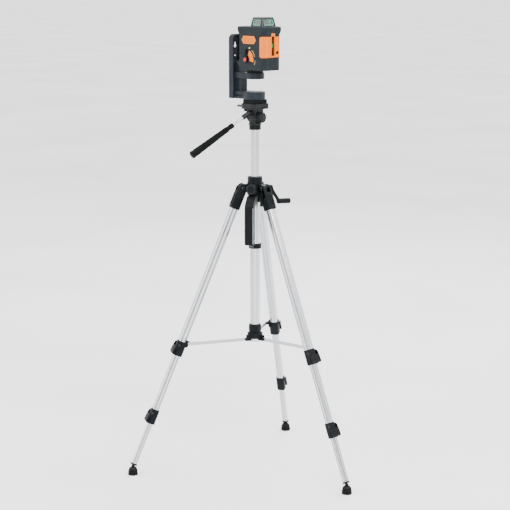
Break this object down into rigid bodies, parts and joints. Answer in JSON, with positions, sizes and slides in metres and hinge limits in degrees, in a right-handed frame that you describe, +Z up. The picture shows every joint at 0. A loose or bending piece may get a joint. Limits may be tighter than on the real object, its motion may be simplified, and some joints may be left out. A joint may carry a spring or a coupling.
{
  "type": "laser level on tripod",
  "caption": "Cross-line laser level on an L-shaped wall bracket, screwed to the pan head of a folding aluminium tripod with telescoping legs and a cranked column.",
  "frame": {"origin": "on the floor under the column's axis, at the middle of the three feet", "axes": "+Z up the column, +X the way the laser faces, over the front leg"},
  "size_m": [0.4992, 0.5726, 1.1334],
  "materials": {
    "tube_aluminium": "satin anodised",
    "black_plastic": "fine texture",
    "column_aluminium": "satin anodised",
    "strut_aluminium": "stamped strip",
    "foot_rubber": "moulded",
    "grip_rubber": "moulded",
    "steel": "turned",
    "bracket_plastic": "fine texture",
    "laser_plastic": "fine texture",
    "laser_orange": "smooth moulding",
    "laser_glass": "coated",
    "optics_dark": "matt"
  },
  "bodies": {
    "stand": {"crown": "black_plastic", "guide_tube": "column_aluminium", "carry_handle": "black_plastic"},
    "front_leg": {"front_leg_shoulder": "black_plastic", "front_leg_upper_tube": "tube_aluminium", "front_leg_upper_clamp": "black_plastic"},
    "front_upper_lever": {"front_leg_upper_lever": "black_plastic"},
    "front_middle_section": {"front_leg_middle_tube": "tube_aluminium", "front_leg_lower_clamp": "black_plastic"},
    "front_lower_lever": {"front_leg_lower_lever": "black_plastic"},
    "front_lower_section": {"front_leg_lower_tube": "tube_aluminium"},
    "front_foot": {"front_foot": "foot_rubber"},
    "front_brace": {"front_brace": "strut_aluminium"},
    "left_leg": {"left_leg_shoulder": "black_plastic", "left_leg_upper_tube": "tube_aluminium", "left_leg_upper_clamp": "black_plastic"},
    "left_upper_lever": {"left_leg_upper_lever": "black_plastic"},
    "left_middle_section": {"left_leg_middle_tube": "tube_aluminium", "left_leg_lower_clamp": "black_plastic"},
    "left_lower_lever": {"left_leg_lower_lever": "black_plastic"},
    "left_lower_section": {"left_leg_lower_tube": "tube_aluminium"},
    "left_foot": {"left_foot": "foot_rubber"},
    "left_brace": {"left_brace": "strut_aluminium"},
    "right_leg": {"right_leg_shoulder": "black_plastic", "right_leg_upper_tube": "tube_aluminium", "right_leg_upper_clamp": "black_plastic"},
    "right_upper_lever": {"right_leg_upper_lever": "black_plastic"},
    "right_middle_section": {"right_leg_middle_tube": "tube_aluminium", "right_leg_lower_clamp": "black_plastic"},
    "right_lower_lever": {"right_leg_lower_lever": "black_plastic"},
    "right_lower_section": {"right_leg_lower_tube": "tube_aluminium"},
    "right_foot": {"right_foot": "foot_rubber"},
    "right_brace": {"right_brace": "strut_aluminium"},
    "brace_hub": {"brace_hub": "black_plastic"},
    "column": {"column_tube": "column_aluminium", "head_base": "black_plastic"},
    "crank": {"crank": "black_plastic", "lift_pinion": "steel"},
    "column_lock_knob": {"column_lock_knob": "black_plastic"},
    "pan_base": {"pan_base": "black_plastic"},
    "tilt_body": {"tilt_body": "black_plastic"},
    "tilt_knob": {"tilt_knob": "black_plastic"},
    "pan_handle": {"handle_rod": "steel", "handle_grip": "grip_rubber"},
    "platform": {"platform": "black_plastic", "camera_plate": "black_plastic", "bracket": "bracket_plastic"},
    "release_lever": {"release_lever": "black_plastic"},
    "clamp_wheel": {"clamp_wheel": "black_plastic"},
    "laser": {"housing": "laser_plastic", "front_panel": "laser_orange", "front_window": "laser_glass", "label_plate": "laser_orange", "top_cage": "laser_plastic", "cage_glass": "laser_glass"},
    "switch_lever": {"switch_lever": "black_plastic"},
    "mode_button": {"mode_button": "black_plastic"},
    "battery_door": {"battery_door": "laser_plastic"},
    "optics": {"optics": "optics_dark"}
  },
  "joints": [
    {"name": "front_leg_fold", "type": "hinge", "parent": "stand", "child": "front_leg", "pos_m": [0.032, 0, 0.71625], "axis": [0, 1, 0], "range_deg": [0, 20.2]},
    {"name": "front_middle_slide", "type": "slide", "parent": "front_leg", "child": "front_middle_section", "axis": [0.3778, 0, -0.9259], "range_m": [-0.14, 0.16]},
    {"name": "front_lower_slide", "type": "slide", "parent": "front_middle_section", "child": "front_lower_section", "axis": [0.3778, 0, -0.9259], "range_m": [-0.09, 0.19]},
    {"name": "front_upper_lever_flip", "type": "hinge", "parent": "front_leg", "child": "front_upper_lever", "pos_m": [0.19801, 0, 0.3293], "axis": [0, -1, 0], "range_deg": [0, 90]},
    {"name": "front_lower_lever_flip", "type": "hinge", "parent": "front_middle_section", "child": "front_lower_lever", "pos_m": [0.26754, 0, 0.15894], "axis": [0, -1, 0], "range_deg": [0, 90]},
    {"name": "front_foot_swivel", "type": "hinge", "parent": "front_lower_section", "child": "front_foot", "pos_m": [0.31614, 0, 0.02], "axis": [0, 1, 0], "range_deg": [-20, 20]},
    {"name": "front_brace_turn", "type": "hinge", "parent": "brace_hub", "child": "front_brace", "pos_m": [0.024, 0, 0.332], "axis": [0, 1, 0], "range_deg": [0, 87.6]},
    {"name": "left_leg_fold", "type": "hinge", "parent": "stand", "child": "left_leg", "pos_m": [-0.016, 0.02771, 0.71625], "axis": [-0.866, -0.5, 0], "range_deg": [0, 20.2]},
    {"name": "left_middle_slide", "type": "slide", "parent": "left_leg", "child": "left_middle_section", "axis": [-0.1889, 0.3272, -0.9259], "range_m": [-0.14, 0.16]},
    {"name": "left_lower_slide", "type": "slide", "parent": "left_middle_section", "child": "left_lower_section", "axis": [-0.1889, 0.3272, -0.9259], "range_m": [-0.09, 0.19]},
    {"name": "left_upper_lever_flip", "type": "hinge", "parent": "left_leg", "child": "left_upper_lever", "pos_m": [-0.09901, 0.17149, 0.3293], "axis": [0.866, 0.5, 0], "range_deg": [0, 90]},
    {"name": "left_lower_lever_flip", "type": "hinge", "parent": "left_middle_section", "child": "left_lower_lever", "pos_m": [-0.13377, 0.23169, 0.15894], "axis": [0.866, 0.5, 0], "range_deg": [0, 90]},
    {"name": "left_foot_swivel", "type": "hinge", "parent": "left_lower_section", "child": "left_foot", "pos_m": [-0.15807, 0.27378, 0.02], "axis": [-0.866, -0.5, 0], "range_deg": [-20, 20]},
    {"name": "left_brace_turn", "type": "hinge", "parent": "brace_hub", "child": "left_brace", "pos_m": [-0.012, 0.02078, 0.332], "axis": [-0.866, -0.5, 0], "range_deg": [0, 87.6]},
    {"name": "right_leg_fold", "type": "hinge", "parent": "stand", "child": "right_leg", "pos_m": [-0.016, -0.02771, 0.71625], "axis": [0.866, -0.5, 0], "range_deg": [0, 20.2]},
    {"name": "right_middle_slide", "type": "slide", "parent": "right_leg", "child": "right_middle_section", "axis": [-0.1889, -0.3272, -0.9259], "range_m": [-0.14, 0.16]},
    {"name": "right_lower_slide", "type": "slide", "parent": "right_middle_section", "child": "right_lower_section", "axis": [-0.1889, -0.3272, -0.9259], "range_m": [-0.09, 0.19]},
    {"name": "right_upper_lever_flip", "type": "hinge", "parent": "right_leg", "child": "right_upper_lever", "pos_m": [-0.09901, -0.17149, 0.3293], "axis": [-0.866, 0.5, 0], "range_deg": [0, 90]},
    {"name": "right_lower_lever_flip", "type": "hinge", "parent": "right_middle_section", "child": "right_lower_lever", "pos_m": [-0.13377, -0.23169, 0.15894], "axis": [-0.866, 0.5, 0], "range_deg": [0, 90]},
    {"name": "right_foot_swivel", "type": "hinge", "parent": "right_lower_section", "child": "right_foot", "pos_m": [-0.15807, -0.27378, 0.02], "axis": [0.866, -0.5, 0], "range_deg": [-20, 20]},
    {"name": "right_brace_turn", "type": "hinge", "parent": "brace_hub", "child": "right_brace", "pos_m": [-0.012, -0.02078, 0.332], "axis": [0.866, -0.5, 0], "range_deg": [0, 87.6]},
    {"name": "hub_slide", "type": "slide", "parent": "stand", "child": "brace_hub", "axis": [0, 0, 1], "range_m": [0, 0.12364]},
    {"name": "column_slide", "type": "slide", "parent": "stand", "child": "column", "axis": [0, 0, 1], "range_m": [-0.09, 0.14]},
    {"name": "crank_turn", "type": "hinge", "parent": "stand", "child": "crank", "pos_m": [0, 0, 0.715], "axis": [0.5, 0.866, 0], "range_deg": [-1295, 2010]},
    {"name": "column_lock_turn", "type": "hinge", "parent": "stand", "child": "column_lock_knob", "pos_m": [0, 0, 0.715], "axis": [0.5, -0.866, 0], "range_deg": [0, 90]},
    {"name": "pan_turn", "type": "hinge", "parent": "column", "child": "pan_base", "pos_m": [0, 0, 0.87], "axis": [0, 0, 1], "continuous": true},
    {"name": "head_tilt", "type": "hinge", "parent": "pan_base", "child": "tilt_body", "pos_m": [0, 0, 0.89], "axis": [1, 0, 0], "range_deg": [-90, 30]},
    {"name": "tilt_knob_turn", "type": "hinge", "parent": "pan_base", "child": "tilt_knob", "pos_m": [0, 0, 0.89], "axis": [1, 0, 0], "range_deg": [0, 90]},
    {"name": "handle_twist", "type": "hinge", "parent": "tilt_body", "child": "pan_handle", "pos_m": [0, -0.016, 0.9025], "axis": [-0.1948, -0.8438, -0.5], "range_deg": [0, 120]},
    {"name": "side_tilt", "type": "hinge", "parent": "tilt_body", "child": "platform", "pos_m": [-0.02, 0, 0.9063], "axis": [0, -1, 0], "range_deg": [0, 90]},
    {"name": "release_swing", "type": "hinge", "parent": "platform", "child": "release_lever", "pos_m": [-0.0205, -0.02, 0.9141], "axis": [0, 0, 1], "range_deg": [0, 40]},
    {"name": "clamp_wheel_turn", "type": "hinge", "parent": "platform", "child": "clamp_wheel", "pos_m": [0, 0, 0.9986], "axis": [0, 0, 1], "continuous": true},
    {"name": "laser_swivel", "type": "hinge", "parent": "platform", "child": "laser", "pos_m": [0, 0, 1.0059], "axis": [0, 0, -1], "range_deg": [-110, 110]},
    {"name": "switch_turn", "type": "hinge", "parent": "laser", "child": "switch_lever", "pos_m": [0.0005, -0.0305, 1.0314], "axis": [0, 1, 0], "range_deg": [0, 105]},
    {"name": "mode_button_press", "type": "slide", "parent": "laser", "child": "mode_button", "axis": [-1, 0, 0], "range_m": [0, 0.0006], "stiffness_N_per_m": 600},
    {"name": "battery_door_open", "type": "hinge", "parent": "laser", "child": "battery_door", "pos_m": [0, 0.0294, 1.0273], "axis": [-1, 0, 0], "range_deg": [0, 95]},
    {"name": "optics_swing", "type": "hinge", "parent": "laser", "child": "optics", "pos_m": [0.0283, 0, 1.1029], "axis": [0, 1, 0], "range_deg": [-4, 4]}
  ],
  "couplings": [
    {"joint": "front_brace_turn", "follows": "front_leg_fold", "ratio": 4.3269},
    {"joint": "left_leg_fold", "follows": "front_leg_fold", "ratio": 1},
    {"joint": "left_brace_turn", "follows": "front_leg_fold", "ratio": 4.3269},
    {"joint": "right_leg_fold", "follows": "front_leg_fold", "ratio": 1},
    {"joint": "right_brace_turn", "follows": "front_leg_fold", "ratio": 4.3269},
    {"joint": "hub_slide", "follows": "front_leg_fold", "m_per_rad": 0.34928},
    {"joint": "crank_turn", "follows": "column_slide", "rad_per_m": 250}
  ]
}
